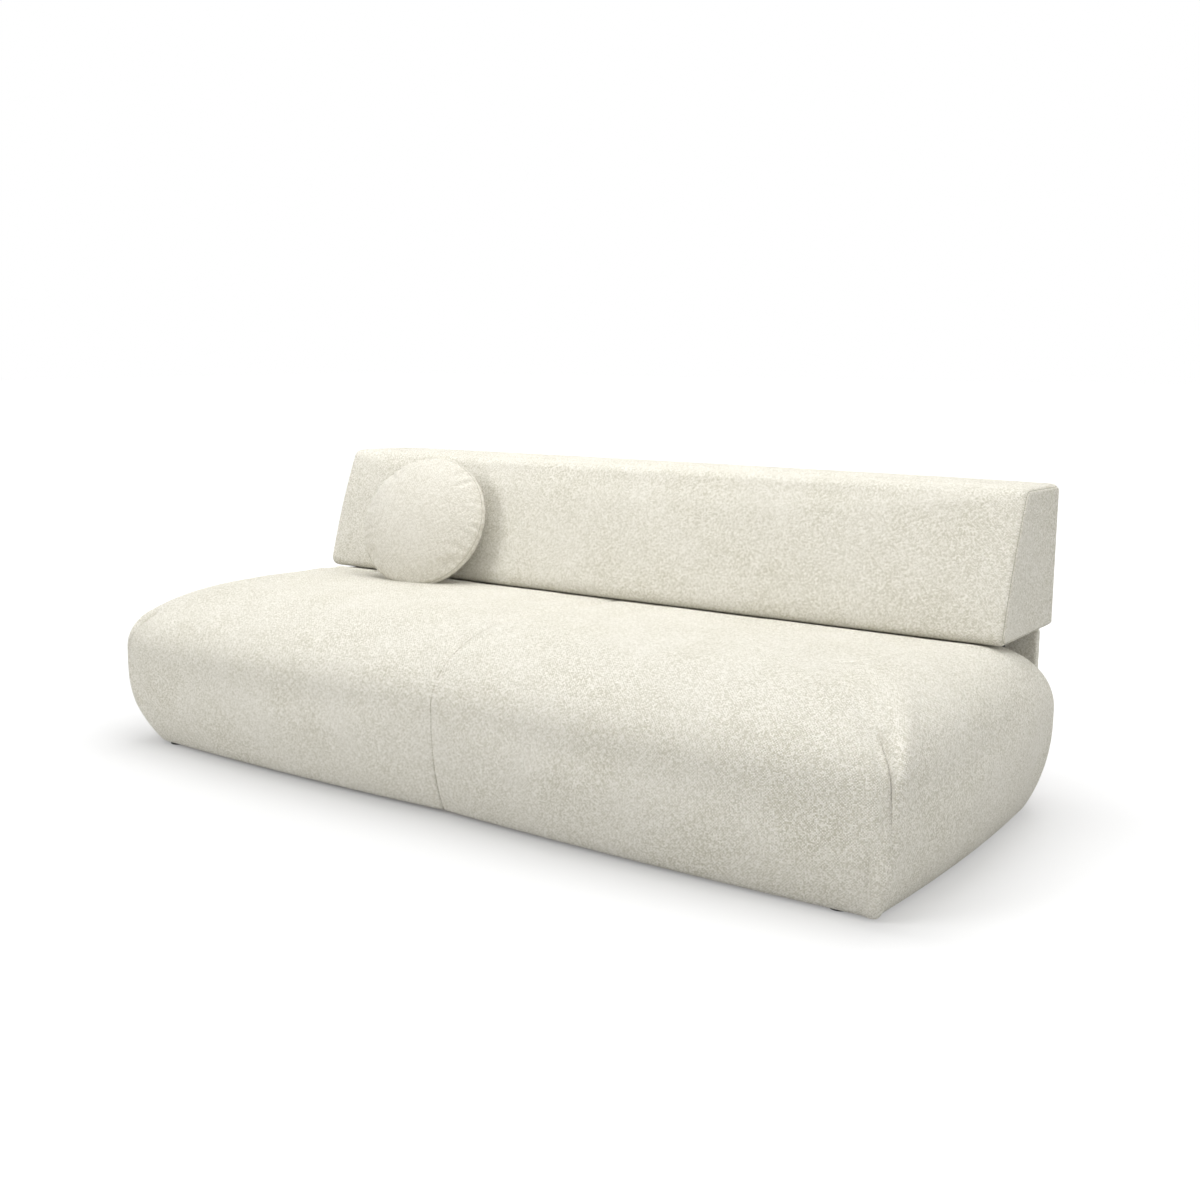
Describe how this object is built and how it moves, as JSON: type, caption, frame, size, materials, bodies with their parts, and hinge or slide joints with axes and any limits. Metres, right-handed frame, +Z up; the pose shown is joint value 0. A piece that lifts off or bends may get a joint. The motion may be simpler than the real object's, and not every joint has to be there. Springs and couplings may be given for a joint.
{
  "type": "storage sofa bed",
  "caption": "Low armless sofa bed: plump rounded seat that rolls forward over a storage box, wedge backrest that folds flat behind it, loose round cushion.",
  "frame": {"origin": "on the floor below the middle of the sofa at rest", "axes": "+X along the sofa's length, to the sitter's left; the sitter faces -Y; +Z up"},
  "size_m": [2.3008, 1.0589, 0.7505],
  "materials": {
    "upholstery": "cream chunky weave",
    "cushion_fabric": "cream soft weave",
    "board": "birch plywood, clear",
    "timber": "planed pine",
    "dark_steel": "black powder coat",
    "zinc_steel": "zinc plated",
    "black_plastic": "moulded black"
  },
  "bodies": {
    "base": {"base_bearer_left": "timber", "base_bearer_right": "timber", "base_cross_rails": "timber", "base_feet": "black_plastic", "guide_rail_left": "zinc_steel", "guide_rail_right": "zinc_steel", "hinge_pin_left": "zinc_steel", "hinge_pin_right": "zinc_steel", "hinge_post_left": "dark_steel", "hinge_post_right": "dark_steel", "hinge_washers": "zinc_steel", "post_bolts": "zinc_steel", "ratchet_wheel_left": "zinc_steel", "ratchet_wheel_right": "zinc_steel", "storage_floor": "board", "storage_front_wall": "board", "storage_rear_wall": "board", "storage_side_left": "board", "storage_side_right": "board"},
    "seat": {"corner_block_left": "timber", "corner_block_right": "timber", "glide_axle_left": "zinc_steel", "glide_axle_right": "zinc_steel", "glide_housing_left": "black_plastic", "glide_housing_right": "black_plastic", "roller_axle_left": "zinc_steel", "roller_axle_right": "zinc_steel", "roller_bracket_left": "dark_steel", "roller_bracket_right": "dark_steel", "seat_centre_rail": "timber", "seat_deck_left": "board", "seat_deck_right": "board", "seat_front_board": "board", "seat_front_rail": "timber", "seat_pad_left": "upholstery", "seat_pad_right": "upholstery", "seat_rear_rail": "timber", "seat_side_board_left": "board", "seat_side_board_right": "board", "seat_side_rail_left": "timber", "seat_side_rail_right": "timber", "seat_sill": "timber"},
    "backrest": {"arm_bolts": "zinc_steel", "backrest_bottom_rail": "timber", "backrest_pad": "upholstery", "backrest_top_rail": "timber", "backrest_uprights": "timber", "hinge_arm_left": "dark_steel", "hinge_arm_right": "dark_steel", "ratchet_pawl_left": "zinc_steel", "ratchet_pawl_right": "zinc_steel", "rear_apron": "upholstery"},
    "cushion": {"round_cushion": "cushion_fabric"},
    "glide_wheel_left": {"glide_wheel_left": "black_plastic"},
    "glide_wheel_right": {"glide_wheel_right": "black_plastic"},
    "guide_roller_left": {"guide_roller_left": "black_plastic"},
    "guide_roller_right": {"guide_roller_right": "black_plastic"}
  },
  "joints": [
    {"name": "seat_slide", "type": "slide", "parent": "base", "child": "seat", "axis": [0, -1, 0], "range_m": [0, 0.55]},
    {"name": "backrest_fold", "type": "hinge", "parent": "base", "child": "backrest", "pos_m": [0, 0.29424, 0.2525], "axis": [-1, 0, 0], "range_deg": [0, 70.4]},
    {"name": "cushion_lift", "type": "slide", "parent": "seat", "child": "cushion", "axis": [0, 0, 1], "range_m": [0, 0.3]},
    {"name": "glide_wheel_right_spin", "type": "hinge", "parent": "seat", "child": "glide_wheel_right", "pos_m": [0.99, -0.444, 0.007], "axis": [1, 0, 0], "range_deg": [0, 4520]},
    {"name": "guide_roller_right_spin", "type": "hinge", "parent": "seat", "child": "guide_roller_right", "pos_m": [0.9535, 0.206, 0.17], "axis": [1, 0, 0], "range_deg": [0, 1870]},
    {"name": "glide_wheel_left_spin", "type": "hinge", "parent": "seat", "child": "glide_wheel_left", "pos_m": [-0.99, -0.444, 0.007], "axis": [1, 0, 0], "range_deg": [0, 4520]},
    {"name": "guide_roller_left_spin", "type": "hinge", "parent": "seat", "child": "guide_roller_left", "pos_m": [-0.9535, 0.206, 0.17], "axis": [1, 0, 0], "range_deg": [0, 1870]}
  ],
  "couplings": [
    {"joint": "glide_wheel_right_spin", "follows": "seat_slide", "rad_per_m": 142.86},
    {"joint": "guide_roller_right_spin", "follows": "seat_slide", "rad_per_m": 58.824},
    {"joint": "glide_wheel_left_spin", "follows": "seat_slide", "rad_per_m": 142.86},
    {"joint": "guide_roller_left_spin", "follows": "seat_slide", "rad_per_m": 58.824}
  ]
}
